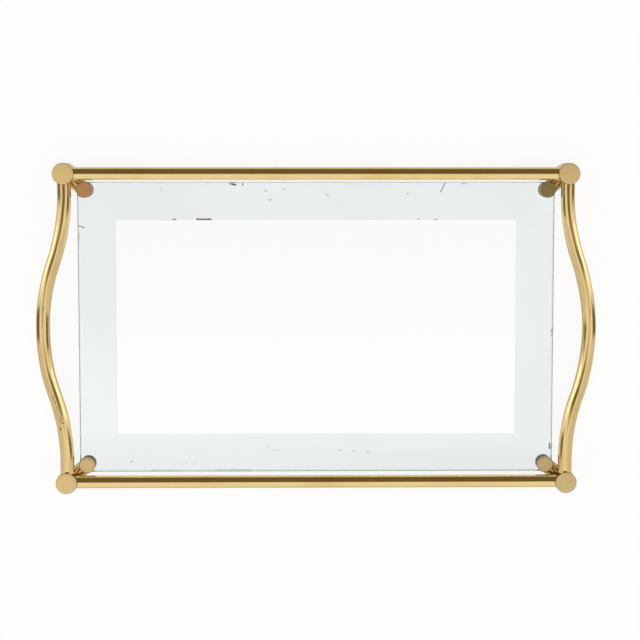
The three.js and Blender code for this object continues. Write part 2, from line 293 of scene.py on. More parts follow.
def rim(radius, height, fillet, upper, steps=7):
    """A quarter circle that rounds a bar's rim, as (radius, height) rows going up: at angle t it
    is at (radius - fillet + fillet * cos t, middle + fillet * sin t). Its middle is a fillet
    below an upper rim, or above a lower one."""
    t = np.linspace(0, pi / 2, steps) if upper else np.linspace(-pi / 2, 0, steps)
    middle = height - fillet if upper else height + fillet
    return np.stack([radius - fillet + fillet * np.cos(t), middle + fillet * np.sin(t)], -1)


def flat_face(radius, height, crown=0.0, outward=True):
    """Rows across a bar's end, at height + crown * (1 - (r / radius) ** 2)."""
    r = np.linspace(0.03, 0.97, 10) * radius
    rows = np.stack([r, height + crown * (1 - (r / radius) ** 2)], -1)
    return rows if outward else rows[::-1]


def upright(radius, low, high, count=5):
    """Rows up a bar's side, between two heights and not at them."""
    heights = np.linspace(low, high, count + 2)[1:-1]
    return np.stack([np.full(count, radius), heights], -1)


def turned_rings(profile, sides=None):
    """A profile of (radius, height) rows turned about the upright axis: each point is at
    (radius * cos a, radius * sin a, height)."""
    a = angles(sides or shape().turned_sides)
    radius, height = profile[:, :1], np.repeat(profile[:, 1:], len(a), 1)
    return np.stack([radius * np.cos(a), radius * np.sin(a), height], -1)


def turned(name, rings, centre):
    """A closed surface from rings about the origin, moved to a centre in X and Y."""
    return closed_surface(name, rings + np.array([centre[0], centre[1], 0.0]), rings)


def stations(length, dense, count):
    """Distances along a path, close together over the dense stretch at both ends."""
    near = np.linspace(0, dense, 9)
    between = np.linspace(dense, length - dense, count)[1:-1]
    return np.concatenate([near, between, length - near[::-1]])


def saddle(post_radius):
    """How far a tube's end moves along the tube so that it lies on a post's side: at a distance
    across the post's axis, sqrt(R * R - across * across) - R."""
    return lambda across: np.sqrt(post_radius ** 2 - across ** 2) - post_radius


def carried_rings(path, frames, radius, along, meets, reach):
    """Rings carried along a path: point a of a row is at
    path + radius * (across * cos a + upward * sin a), with across and upward from frames.
    meets are the two saddles, which fade out over the reach from each end."""
    across, upward = frames
    a = angles(shape().tube_sides)
    radius = np.broadcast_to(np.asarray(radius, float), along.shape)[:, None]
    flat, high = radius * np.cos(a), radius * np.sin(a)
    from_start = (1 - (along - along.min()) / reach).clip(0, 1)[:, None]
    from_end = (1 - (along.max() - along) / reach).clip(0, 1)[:, None]
    push = from_start * meets[0](flat) - from_end * meets[1](flat)
    forward = np.cross(across, upward)
    rings = path[:, None] + flat[..., None] * across[:, None] + high[..., None] * upward[:, None]
    rings = rings + push[..., None] * forward[:, None]
    local = np.stack([along[:, None] + push, flat, high], -1)
    return rings, local


def straight_frames(direction, count):
    """Across and upward of a level straight path, the same in every row."""
    across = np.cross((0.0, 0.0, 1.0), direction)
    return np.repeat([across], count, 0), np.repeat([[0.0, 0.0, 1.0]], count, 0)


def tube(name, path, frames, radius, wall, along, meets):
    """A tube with a real bore: the outer rings from end to end, then the bore's rings back."""
    outer, outer_local = carried_rings(path, frames, radius, along, meets, SADDLE_FADE)
    inner, inner_local = carried_rings(path, frames, radius - wall, along, meets, SADDLE_FADE)
    rings = np.concatenate([outer, inner[::-1]])
    local = np.concatenate([outer_local, inner_local[::-1]])
    return closed_surface(name, rings, local, sharp=50.0, looped=True)


def bar(name, start, direction, length, radius, meets):
    """A solid round bar. Smaller rings at both ends carry the saddles across its end faces."""
    direction = np.array(direction, float)
    shares = np.array([0.12, 0.4, 0.7, 0.9])
    body = stations(length, min(BAR_FADE, length * 0.3), 6)
    along = np.concatenate([np.zeros(4), body, np.full(4, length)])
    radii = radius * np.concatenate([shares, np.ones(len(body)), shares[::-1]])
    path = np.array(start, float) + along[:, None] * direction
    frames = straight_frames(direction, len(along))
    rings, local = carried_rings(path, frames, radii, along, meets, BAR_FADE)
    return closed_surface(name, rings, local, sharp=50.0)


def flat_end(across):
    """Stands in for a saddle where a bar's end is flat."""
    return across * 0


def bore(piece, start, direction, length, radius):
    """Cuts a round hole into a piece."""
    cutter = bar("cutter", start, direction, length, radius, (flat_end, flat_end))
    cut = piece.modifiers.new("bore", "BOOLEAN")
    cut.operation, cut.solver, cut.object = "DIFFERENCE", "EXACT", cutter
    bpy.context.view_layer.update()
    graph = bpy.context.evaluated_depsgraph_get()
    mesh = bpy.data.meshes.new_from_object(piece.evaluated_get(graph))
    piece.modifiers.clear()
    piece.data = mesh
    bpy.data.objects.remove(cutter)


def middle_and_radius(node, axis=0):
    """The middle of a node's box, and half the box's size along an axis."""
    low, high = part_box(node)
    return (low + high) / 2, (high - low)[axis] / 2


# ---- Shader maths ----
class Wire:
    """A value in a material or a world. Python's operators on it add Math nodes."""

    def __init__(self, sheet, socket):
        self.sheet, self.socket = sheet, socket

    def math(self, operation, *others):
        inputs = dict(enumerate((self, *others)))
        return self.sheet.node("ShaderNodeMath", {"operation": operation}, inputs)["Value"]

    def __add__(self, other):
        return self.math("ADD", other)

    def __mul__(self, other):
        return self.math("MULTIPLY", other)

    __radd__, __rmul__ = __add__, __mul__

    def __sub__(self, other):
        return self.math("SUBTRACT", other)

    def __rsub__(self, other):
        inputs = {0: other, 1: self}
        return self.sheet.node("ShaderNodeMath", {"operation": "SUBTRACT"}, inputs)["Value"]

    def larger(self, other):
        return self.math("MAXIMUM", other)

    def smaller(self, other):
        return self.math("MINIMUM", other)

    def ramp(self, low, high, start=0.0, end=1.0):
        """Goes smoothly from start to end as the value goes from low to high."""
        settings = {"interpolation_type": "SMOOTHSTEP", "clamp": True}
        inputs = {"Value": self, "From Min": low, "From Max": high, "To Min": start, "To Max": end}
        return self.sheet.node("ShaderNodeMapRange", settings, inputs)["Result"]


class Sheet:
    """The node tree of one material or world."""

    def __init__(self, owner):
        owner.use_nodes = True
        self.tree = owner.node_tree
        self.tree.nodes.clear()

    def node(self, kind, settings=None, inputs=None):
        """Adds a node, sets its settings, then its sockets by name, identifier or index. Gives
        its outputs by name, those in use before any other of the same name."""
        made = self.tree.nodes.new(kind)
        for key, value in (settings or {}).items():
            setattr(made, key, value)
        for key, value in (inputs or {}).items():
            self.feed(self.socket_of(made, key), value)
        outputs = sorted(made.outputs, key=lambda out: out.enabled)
        return {out.name: Wire(self, out) for out in outputs}

    @staticmethod
    def socket_of(made, key):
        if isinstance(key, int):
            return made.inputs[key]
        found = [s for s in made.inputs if key in (s.name, s.identifier)]
        return sorted(found, key=lambda s: not s.enabled)[0]

    def feed(self, socket, value):
        if isinstance(value, Wire):
            self.tree.links.new(value.socket, socket)
        elif socket.type == "RGBA" and len(value) == 3:
            socket.default_value = (*value, 1.0)
        else:
            socket.default_value = value

    def mix(self, share, a, b):
        """A colour between a, at share 0, and b, at share 1."""
        inputs = {"Factor_Float": share, "A_Color": a, "B_Color": b}
        return self.node("ShaderNodeMix", {"data_type": "RGBA"}, inputs)["Result"]

    def vector(self, operation, *values, **inputs):
        """Vector Math on values in order, with any other socket by its name."""
        filled = dict(enumerate(values)) | inputs
        outputs = self.node("ShaderNodeVectorMath", {"operation": operation}, filled)
        return outputs["Value" if operation in ("DOT_PRODUCT", "LENGTH", "DISTANCE") else "Vector"]

    def place(self):
        return self.node("ShaderNodeTexCoord")["Object"]

    def local(self):
        """The place on the straightened piece that closed_surface stored."""
        return self.node("ShaderNodeAttribute", {"attribute_name": "local"})["Vector"]

    def scaled(self, vector, factors):
        return self.vector("MULTIPLY", vector, factors)

    def part(self, vector, axis):
        return self.node("ShaderNodeSeparateXYZ", None, {"Vector": vector})[axis]

    def noise(self, vector, scale, detail=3.0, roughness=0.5):
        inputs = {"Vector": vector, "Scale": scale, "Detail": detail, "Roughness": roughness}
        return self.node("ShaderNodeTexNoise", None, inputs)["Fac"]

    def bump(self, height, strength, distance):
        inputs = {"Height": height, "Strength": strength, "Distance": distance}
        return self.node("ShaderNodeBump", None, inputs)["Normal"]

    def mark(self, flat_place, entry, ragged):
        """1 on a short stroke, times its depth, and 0 off it. The stroke holds the points nearer
        than its half width to the line between its ends, with ragged noise on that distance."""
        x0, y0, x1, y1, half_mm, depth = entry
        half = half_mm * MM
        start = Vector((x0, y0, 0)) * MM
        run = Vector((x1, y1, 0)) * MM - start
        from_start = self.vector("SUBTRACT", flat_place, tuple(start))
        along = self.vector("DOT_PRODUCT", from_start, tuple(run / run.length_squared))
        nearest = self.vector("SCALE", tuple(run), Scale=along.larger(0.0).smaller(1.0))
        distance = self.vector("DISTANCE", from_start, nearest) + ragged * half
        return distance.ramp(half, half * MARK_CORE) * depth

    def marks(self, entries, ragged):
        """The deepest of several strokes at each point, as seen from above."""
        flat_place = self.scaled(self.place(), (1.0, 1.0, 0.0))
        total = self.mark(flat_place, entries[0], ragged)
        for entry in entries[1:]:
            total = total.larger(self.mark(flat_place, entry, ragged))
        return total

    def surface(self, inputs):
        shader = self.node("ShaderNodeBsdfPrincipled", None, inputs)["BSDF"]
        self.show(shader)

    def show(self, shader):
        self.node("ShaderNodeOutputMaterial", None, {"Surface": shader})


def material(name):
    made = bpy.data.materials.new(name)
    return made, Sheet(made)


def tube_brass(name, scratches=()):
    """Polished tube: fine lengthwise lines, cloudy ageing and, on the handles, scratches."""
    made, s = material(name)
    place, local, look = s.place(), s.local(), finish()
    clouds = s.noise(place, 22.0, 4.0)
    lines = s.noise(s.scaled(local, (25.0, 1900.0, 1900.0)), 1.0, 2.0)
    specks = s.noise(place, 900.0, 2.0).ramp(0.70, 0.78)
    colour = s.mix(clouds.ramp(0.45, 0.8) * 0.7, look.brass, look.brass_deep)
    colour = s.mix(specks * 0.45, colour, look.brass_deep)
    rough = lines * 0.06 + clouds * 0.05 + specks * 0.10 + (look.polish - 0.055)
    height = lines * 0.35 + clouds * 0.2
    if scratches:
        worn = s.marks(scratches, s.noise(place, 420.0, 3.0) * 2.2 - 0.9)
        colour = s.mix(worn, colour, look.scratch_and_shade)
        rough = rough + worn * 0.35
        height = height - worn * 3.0
    s.surface({"Base Color": colour, "Metallic": 1.0, "Roughness": rough,
               "Normal": s.bump(height, 0.25, 0.00002)})
    return made


def age_and_shade(tone):
    """The colour that brass of this tone darkens to, and how far: age on the posts and the clips'
    ends, painted shade on the arms and the clips' sides.
    """
    return (finish().copper if tone < 0 else finish().olive_and_shade), abs(tone)


def bar_brass(name, side_age_and_shade, end_tone=None, top=None):
    """Turned bar with polished sides, darkened by age on the posts and by painted shade on the arms
    and the clips' sides. At the height top it has a satin end, with faint rings and a painted dark
    line of shade on its arris."""
    made, s = material(name)
    local, place, look = s.local(), s.place(), finish()
    side_lines = s.noise(s.scaled(local, (90.0, 90.0, 2600.0)), 1.0, 2.0)
    clouds = s.noise(place, 90.0, 4.0)
    darkened, share = age_and_shade(side_age_and_shade)
    clean = s.mix(clouds.ramp(0.35, 0.75) * 0.55, look.brass, look.brass_deep)
    colour, metal = s.mix(share, clean, darkened), 1.0
    rough = side_lines * 0.08 + (look.polish + 0.02)
    height = side_lines * 0.3
    if top is not None:
        arris, level = shape().arris, s.part(local, "Z")
        end = level.ramp(top - 0.5 * arris, top - 0.1 * arris)
        # A painted dark line of shade round the arris, where the rim turns from the top to the
        # side.
        rim_shade_line = level.ramp(top - 1.1 * arris, top - 0.95 * arris)
        rim_shade_line = rim_shade_line * level.ramp(top - 0.08 * arris, top - 0.25 * arris)
        grain = s.noise(s.scaled(local, (5200.0, 900.0, 900.0)), 1.0, 3.0)
        mottle = s.noise(place, 620.0, 2.0).ramp(0.35, 0.7)
        from_axis = s.vector("LENGTH", s.scaled(local, (1.0, 1.0, 0.0)))
        rings = (from_axis * 9000.0).math("SINE")
        darkened, share = age_and_shade(end_tone)
        satin = s.mix(grain * 0.3 + mottle * 0.4, look.brass, look.brass_deep)
        satin = s.mix(clouds.ramp(0.2, 0.8, 0.85 * share, share), satin, darkened)
        colour = s.mix(rim_shade_line * 0.75, s.mix(end, colour, satin), look.scratch_and_shade)
        end_rough = grain * 0.14 + clouds * 0.08 + (look.satin - 0.11)
        rough = rough + (end_rough - rough) * end
        metal = 1.0 - end * 0.6
        height = height * (1.0 - end) + (grain * 0.7 + rings * 0.06) * end
    s.surface({"Base Color": colour, "Metallic": metal, "Roughness": rough,
               "Normal": s.bump(height, 0.35, 0.00003)})
    return made


def hidden_brass(name):
    """Brass of the screws and plugs, duller in patches."""
    made, s = material(name)
    place, look = s.place(), finish()
    clouds = s.noise(place, 160.0, 4.0)
    grain = s.noise(s.scaled(place, (400.0, 3000.0, 3000.0)), 1.0, 2.0)
    colour = s.mix(clouds.ramp(0.3, 0.8), look.brass, look.brass_deep)
    s.surface({"Base Color": colour, "Metallic": 1.0, "Roughness": clouds * 0.2 + 0.18,
               "Normal": s.bump(grain, 0.3, 0.00003)})
    return made


def clear_glass(name):
    """Clear glass, greener at its ground edges, that lets the lamps through to what lies under."""
    made, s = material(name)
    look = finish()
    edge = s.node("ShaderNodeAttribute", {"attribute_name": "edge"})["Fac"]
    smears = s.noise(s.place(), 30.0, 4.0)
    rough = smears.ramp(0.55, 0.9, 0.0, 0.02) + edge * 0.12
    body = s.node("ShaderNodeBsdfPrincipled", None,
                  {"Base Color": s.mix(edge, look.glass, look.glass_edge), "Roughness": rough,
                   "IOR": 1.5, "Transmission Weight": 1.0})["BSDF"]
    through = s.node("ShaderNodeBsdfTransparent", None, {"Color": look.glass})["BSDF"]
    path = s.node("ShaderNodeLightPath")
    lamp = path["Is Shadow Ray"].larger(path["Is Diffuse Ray"])
    s.show(s.node("ShaderNodeMixShader", None, {0: lamp, 1: body, 2: through})["Shader"])
    return made


def silvering(name):
    """Old silvering, hazy in patches, with painted shade that makes it a little darker along the
    front, above all to the right, standing in for a dimmer reflection there; with foxing along its
    edges and small lost specks."""
    made, s = material(name)
    place, look = s.place(), finish()
    ragged = s.noise(place, 900.0, 4.0, 0.65) * 2.4 - 1.1
    dust = s.noise(place, 260.0, 2.0).ramp(0.80, 0.84) * 0.35
    lost = s.marks(SILVER_MARKS, ragged).larger(dust)
    haze = s.noise(place, 6.0, 3.0)
    # Painted shade: darker towards the front and to the right, for the dimmer reflection there.
    front_shade = s.part(place, "Y").ramp(-0.09, -0.13)
    right_shade = s.part(place, "X").ramp(-0.1, 0.2, 0.6, 1.0)
    haze_and_shade = (haze.ramp(0.3, 0.75) * 0.6).larger(front_shade * right_shade)
    dimmer = tuple(c * 0.90 for c in look.silver)
    colour = s.mix(lost, s.mix(haze_and_shade, look.silver, dimmer), look.foxing)
    s.surface({"Base Color": colour, "Metallic": 1.0 - lost * 0.9, "Roughness": lost * 0.55,
               "Normal": s.bump(haze, 0.05, 0.00002)})
    return made


def border_coat(name):
    """Flat paint brushed over the silver's back."""
    made, s = material(name)
    place, look = s.place(), finish()
    strokes = s.noise(s.scaled(place, (40.0, 700.0, 1.0)), 1.0, 3.0)
    patches = s.noise(place, 35.0, 4.0)
    darker = tuple(c * 0.72 for c in look.paint)
    colour = s.mix(strokes * 0.6 + patches * 0.3, look.paint, darker)
    s.surface({"Base Color": colour, "Roughness": strokes * 0.2 + 0.55,
               "Normal": s.bump(strokes, 0.5, 0.0001)})
    return made


def moulded_rubber(name):
    """Moulded rubber with a dusty bloom."""
    made, s = material(name)
    place, look = s.place(), finish()
    bloom = s.noise(place, 300.0, 4.0)
    grain = s.noise(place, 2500.0, 2.0)
    pale = tuple(c + 0.05 for c in look.rubber)
    s.surface({"Base Color": s.mix(bloom.ramp(0.4, 0.8), look.rubber, pale),
               "Roughness": bloom * 0.2 + 0.6, "Normal": s.bump(grain, 0.4, 0.00005)})
    return made


def stand_for(piece, node, made):
    """Finishes a new piece, sets it on the tray's body and hides the node that it stands for."""
    piece.data.materials.clear()
    piece.data.materials.append(made)
    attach(piece, "root")
    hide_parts(node)
    return piece


def finish_nodes(names, made):
    """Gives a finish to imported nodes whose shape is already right."""
    for name in names:
        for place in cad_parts[name].material_slots:
            place.material = made


# ---- Pieces ----
class TRAY_OT_corner_posts(bpy.types.Operator):
    """Makes the four corner posts, bored for the rail screws and the handles' plugs"""
    bl_idname = "tray.corner_posts"
    bl_label = "Corner Posts"

    def execute(self, context):
        sizes = shape()
        for corner, x_side, y_side in CORNERS:
            node = f"corner_post_{corner}"
            low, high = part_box(node)
            centre, radius = middle_and_radius(node)
            top = high.z - sizes.crown
            face = radius - sizes.arris
            profile = np.vstack([flat_face(face, low.z), rim(radius, low.z, sizes.arris, False),
                                 upright(radius, low.z + sizes.arris, top - sizes.arris, 9),
                                 rim(radius, top, sizes.arris, True),
                                 flat_face(face, top, sizes.crown, False)])
            post = turned(f"post_{corner}", turned_rings(profile), centre)
            self.bore_post(post, corner, centre, radius, x_side, y_side)
            tone = POST_TONE[corner]
            made = bar_brass(f"post_brass_{corner}", POST_SIDE_SHARE * tone, tone, top)
            stand_for(post, node, made)
        return {"FINISHED"}

    @staticmethod
    def bore_post(post, corner, centre, radius, x_side, y_side):
        """Sinks the screw's head, takes its shank through, and bores for the handle's plug."""
        low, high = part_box(f"rail_screw_{corner}")
        level = (low.z + high.z) / 2
        head_face = max(abs(low.x), abs(high.x)) - abs(centre.x)
        out = np.array([x_side, 0.0, 0.0])
        axis = np.array([centre.x, centre.y, level])
        head_end = head_face - SCREW_HEAD_HEIGHT
        bore(post, axis + out * head_end, out, 2 * radius, (high.z - low.z) / 2 + BORE_FIT)
        bore(post, axis - out * 1.5 * radius, out, 2 * radius, SCREW_SHANK + BORE_FIT)
        plug_low, plug_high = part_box(f"handle_plug_{corner}")
        plug_end = abs(centre.y) - max(abs(plug_low.y), abs(plug_high.y)) - BORE_FIT
        inward = np.array([0.0, -y_side, 0.0])
        bore(post, axis + inward * plug_end, inward, 2 * radius, HANDLE_SPIGOT + BORE_FIT)
        mesh = post.data
        mesh.shade_smooth()
        mesh.set_sharp_from_angle(angle=radians(32))
        write_local(mesh, vertices_of(mesh) - np.array([centre.x, centre.y, 0.0]))


class TRAY_OT_rails(bpy.types.Operator):
    """Makes the two straight rails, hollowed at their ends to the posts"""
    bl_idname = "tray.rails"
    bl_label = "Rails"

    def execute(self, context):
        made = tube_brass("rail_brass")
        for side in ("front", "back"):
            node = f"rail_{side}"
            centre, radius = middle_and_radius(node, 2)
            post, post_radius = middle_and_radius(f"corner_post_{side}_right")
            half = post.x - post_radius - SEAM
            along = stations(2 * half, SADDLE_ROWS, 60)
            path = np.array([-half, centre.y, centre.z]) + along[:, None] * np.array([1.0, 0, 0])
            frames = straight_frames((1.0, 0.0, 0.0), len(along))
            meets = (saddle(post_radius + SEAM),) * 2
            rail = tube(f"gallery_rail_{side}", path, frames, radius, TUBE_WALL, along, meets)
            stand_for(rail, node, made)
        return {"FINISHED"}


class TRAY_OT_handles(bpy.types.Operator):
    """Makes the two swept handles"""
    bl_idname = "tray.handles"
    bl_label = "Handles"

    @staticmethod
    def sweep(y, bulge, half):
        """How far out the handle runs: an arc hollow to the tray over the middle half, an arc
        hollow to the outside beyond it, both of radius (half ** 2 + bulge ** 2) / (4 * bulge),
        then straight into the posts."""
        arc = (half ** 2 + bulge ** 2) / (4 * bulge)
        along = np.abs(y)
        inner = bulge - (arc - np.sqrt(arc ** 2 - np.minimum(along, half / 2) ** 2))
        outer = arc - np.sqrt(arc ** 2 - np.clip(half - along, 0, half / 2) ** 2)
        return np.where(along > half / 2, outer, inner)

    @staticmethod
    def waves(share, y, phase):
        """What bending leaves, as shares of its depth: how far the axis strays inward and up, and
        how much thinner the tube is. Each is a sum of sines of y, never less than 0 inward and in
        thickness, times 1 - share ** 4, which is 0 at the posts."""
        fade = 1 - share ** 4
        inward = 1.6 - np.sin(95.0 * y + phase) - 0.6 * np.sin(211.0 * y + 2 * phase)
        up = 0.25 * np.sin(130.0 * y + 1.3)
        thinner = 0.3 * (1 + np.sin(60.0 * y + phase))
        return fade * np.stack([inward, up, thinner])

    def execute(self, context):
        sizes = shape()
        made = tube_brass("handle_brass", HANDLE_MARKS)
        for side, x_side in (("left", -1), ("right", 1)):
            node = f"handle_{side}"
            centre, radius = middle_and_radius(node, 2)
            low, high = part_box(node)
            post, post_radius = middle_and_radius(f"corner_post_back_{side}")
            bulge = max(abs(low.x), abs(high.x)) - radius - abs(post.x)
            end = post.y - post_radius - SEAM
            y = stations(2 * end, SADDLE_ROWS, 240) - end
            sideways, upwards, thinner = sizes.hand_bend * self.waves(y / end, y, x_side)
            swept = self.sweep(y, bulge, sizes.sweep_half)
            x = x_side * (abs(post.x) + swept - sideways)
            path = np.stack([x, y, centre.z + upwards], -1)
            ahead = np.gradient(path, axis=0)
            ahead[np.abs(y) > sizes.sweep_half] = (0.0, 1.0, 0.0)
            ahead /= np.linalg.norm(ahead, axis=1)[:, None]
            across = np.cross((0.0, 0.0, 1.0), ahead)
            across /= np.linalg.norm(across, axis=1)[:, None]
            upward = np.cross(ahead, across)
            steps = np.linalg.norm(np.diff(path, axis=0), axis=1)
            along = np.concatenate([[0], np.cumsum(steps)])
            meets = (saddle(post_radius + SEAM),) * 2
            handle = tube(f"swept_handle_{side}", path, (across, upward), radius - thinner,
                          TUBE_WALL, along, meets)
            stand_for(handle, node, made)
        return {"FINISHED"}


class TRAY_OT_clip_arms(bpy.types.Operator):
    """Makes the four slanted arms between posts and clips"""
    bl_idname = "tray.clip_arms"
    bl_label = "Clip Arms"

    def execute(self, context):
        for corner, _, _ in CORNERS:
            node = f"clip_arm_{corner}"
            centre, radius = middle_and_radius(node, 2)
            post, post_radius = middle_and_radius(f"corner_post_{corner}")
            clip, clip_radius = middle_and_radius(f"glass_clip_{corner}")
            run = np.array([clip.x - post.x, clip.y - post.y, 0.0])
            reach = np.linalg.norm(run)
            run = run / reach
            start = np.array([post.x, post.y, centre.z]) + run * (post_radius + SEAM)
            length = reach - post_radius - clip_radius - 2 * SEAM
            meets = saddle(post_radius + SEAM), saddle(clip_radius + SEAM)
            arm = bar(f"arm_{corner}", start, run, length, radius, meets)
            # Each arm is darkened with painted shade.
            made = bar_brass(f"arm_brass_{corner}", ARM_SHADE[corner])
            stand_for(arm, node, made)
        return {"FINISHED"}


class TRAY_OT_glass_clips(bpy.types.Operator):
    """Makes the four slotted clips that hold the glass"""
    bl_idname = "tray.glass_clips"
    bl_label = "Glass Clips"

    def execute(self, context):
        sizes = shape()
        for corner, x_side, y_side in CORNERS:
            node = f"glass_clip_{corner}"
            low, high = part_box(node)
            centre, radius = middle_and_radius(node)
            liner_low, liner_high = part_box(f"slot_liner_{corner}")
            _, foot_radius = middle_and_radius(f"rubber_foot_{corner}")
            foot_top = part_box(f"rubber_foot_{corner}")[1].z + BORE_FIT
            slot_low, slot_high = liner_low.z - LINER_GAP, liner_high.z + LINER_GAP
            recess = foot_radius + BORE_FIT
            top = high.z - sizes.crown / 2
            face = radius - sizes.arris
            below = np.vstack([flat_face(recess, foot_top), [[recess, foot_top]],
                               [[recess, low.z]], rim(radius, low.z, sizes.arris, False),
                               upright(radius, low.z + sizes.arris, slot_low)])
            within = np.stack([np.full(6, radius), np.linspace(slot_low, slot_high, 6)], -1)
            above = np.vstack([upright(radius, slot_high, top - sizes.arris, 4),
                               rim(radius, top, sizes.arris, True),
                               flat_face(face, top, sizes.crown / 2, False)])
            inward = np.array([-x_side, -y_side]) / np.sqrt(2)
            rings = np.concatenate([turned_rings(below),
                                    self.slotted(turned_rings(within), inward, sizes.web_face),
                                    turned_rings(above)])
            clip = turned(f"clip_{corner}", rings, centre)
            # The clips' sides take painted shade; their ends have darkened with age.
            made = bar_brass(f"clip_brass_{corner}", CLIP_SIDE_SHADE, CLIP_TONE[corner], top)
            stand_for(clip, node, made)
        return {"FINISHED"}

    @staticmethod
    def slotted(rings, inward, web_face):
        """The rings between the slot's lower and upper faces. Each point is drawn back, towards a
        point inside the web, until it is on the web's face, and a whole ring at each end closes
        the slot's flat faces. Where the ring is whole already, that ring sits a little apart."""
        heart = -inward * (web_face + SLOT_HEART)
        from_heart = rings[..., :2] - heart
        ahead = from_heart @ inward
        share = SLOT_HEART / np.maximum(ahead, SLOT_HEART)
        drawn = rings.copy()
        drawn[..., :2] = heart + from_heart * share[..., None]
        apart = np.where(share == 1.0, SLOT_STEP, 0.0)
        first, last = rings[:1].copy(), rings[-1:].copy()
        first[..., 2] -= apart[:1]
        last[..., 2] += apart[-1:]
        return np.concatenate([first, drawn, last])


class TRAY_OT_rubber_feet(bpy.types.Operator):
    """Makes the four moulded feet, each with a shallow cup below"""
    bl_idname = "tray.rubber_feet"
    bl_label = "Rubber Feet"

    def execute(self, context):
        made = moulded_rubber("foot_rubber")
        for corner, _, _ in CORNERS:
            node = f"rubber_foot_{corner}"
            low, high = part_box(node)
            centre, radius = middle_and_radius(node)
            # The cup, as shares of the foot's radius and of its height
            cup = np.array([[0.05, 0.14], [0.25, 0.14], [0.45, 0.11], [0.56, 0.03], [0.62, 0.0]])
            cup = cup * [radius, high.z - low.z] + [0, low.z]
            side = upright(radius, low.z + FOOT_RIM, high.z - FOOT_TOP_RIM, 3)
            profile = np.vstack([cup, rim(radius, low.z, FOOT_RIM, False), side,
                                 rim(radius, high.z, FOOT_TOP_RIM, True, 4),
                                 flat_face(radius * 0.9, high.z, 0.0, False)])
            foot = turned(f"foot_{corner}", turned_rings(profile, 64), centre)
            stand_for(foot, node, made)
        return {"FINISHED"}


class TRAY_OT_glass_bed(bpy.types.Operator):
    """Makes the glass, with a ground arris on every edge and its corners cut off"""
    bl_idname = "tray.glass_bed"
    bl_label = "Glass Bed"

    @staticmethod
    def outline(half, leg, inset, height):
        """The eight-sided outline, counter-clockwise, moved in by inset: each corner's two points
        are leg from it along its sides, and leg shortens by (2 - sqrt 2) * inset."""
        hx, hy = half[0] - inset, half[1] - inset
        cut = leg - (2 - np.sqrt(2)) * inset
        corners = np.array([[hx, -hy + cut], [hx, hy - cut], [hx - cut, hy], [cut - hx, hy],
                            [-hx, hy - cut], [-hx, cut - hy], [cut - hx, -hy], [hx - cut, -hy]])
        return np.column_stack([corners, np.full(8, height)])

    def execute(self, context):
        sizes = shape()
        low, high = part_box("glass_bed")
        half = (high - low) / 2
        arris = sizes.glass_arris
        face = 1.15 * arris  # the clear faces start here, just inside the ground arris
        rows = [(face, low.z), (arris, low.z), (0, low.z + arris), (0, high.z - arris),
                (arris, high.z), (face, high.z)]
        rings = np.stack([self.outline(half, sizes.glass_corner, *row) for row in rows])
        glass = closed_surface("bed_glass", rings, sharp=20.0)
        ground = np.repeat([0.0, 1.0, 1.0, 1.0, 1.0, 0.0], 8)
        edge = glass.data.attributes.new("edge", "FLOAT", "POINT")
        edge.data.foreach_set("value", np.append(ground, [0.0, 0.0]).astype(np.float32))
        stand_for(glass, "glass_bed", clear_glass("bed_glass"))
        return {"FINISHED"}


class TRAY_OT_silvered_border(bpy.types.Operator):
    """Finishes the silvering and the paint behind it"""
    bl_idname = "tray.silvered_border"
    bl_label = "Silvered Border"

    def execute(self, context):
        finish_nodes(["silvered_border"], silvering("border_silver"))
        finish_nodes(["border_paint"], border_coat("border_coat"))
        return {"FINISHED"}


class TRAY_OT_fastenings(bpy.types.Operator):
    """Finishes the screws, the plugs inside the tubes and the liners in the clips' slots"""
    bl_idname = "tray.fastenings"
    bl_label = "Screws, Plugs and Liners"

    def execute(self, context):
        kinds = ("rail_screw", "rail_plug", "handle_plug")
        brass_nodes = [f"{kind}_{corner}" for kind in kinds for corner, _, _ in CORNERS]
        finish_nodes(brass_nodes, hidden_brass("fastening_brass"))
        liners = [f"slot_liner_{corner}" for corner, _, _ in CORNERS]
        finish_nodes(liners, moulded_rubber("liner_rubber"))
        return {"FINISHED"}


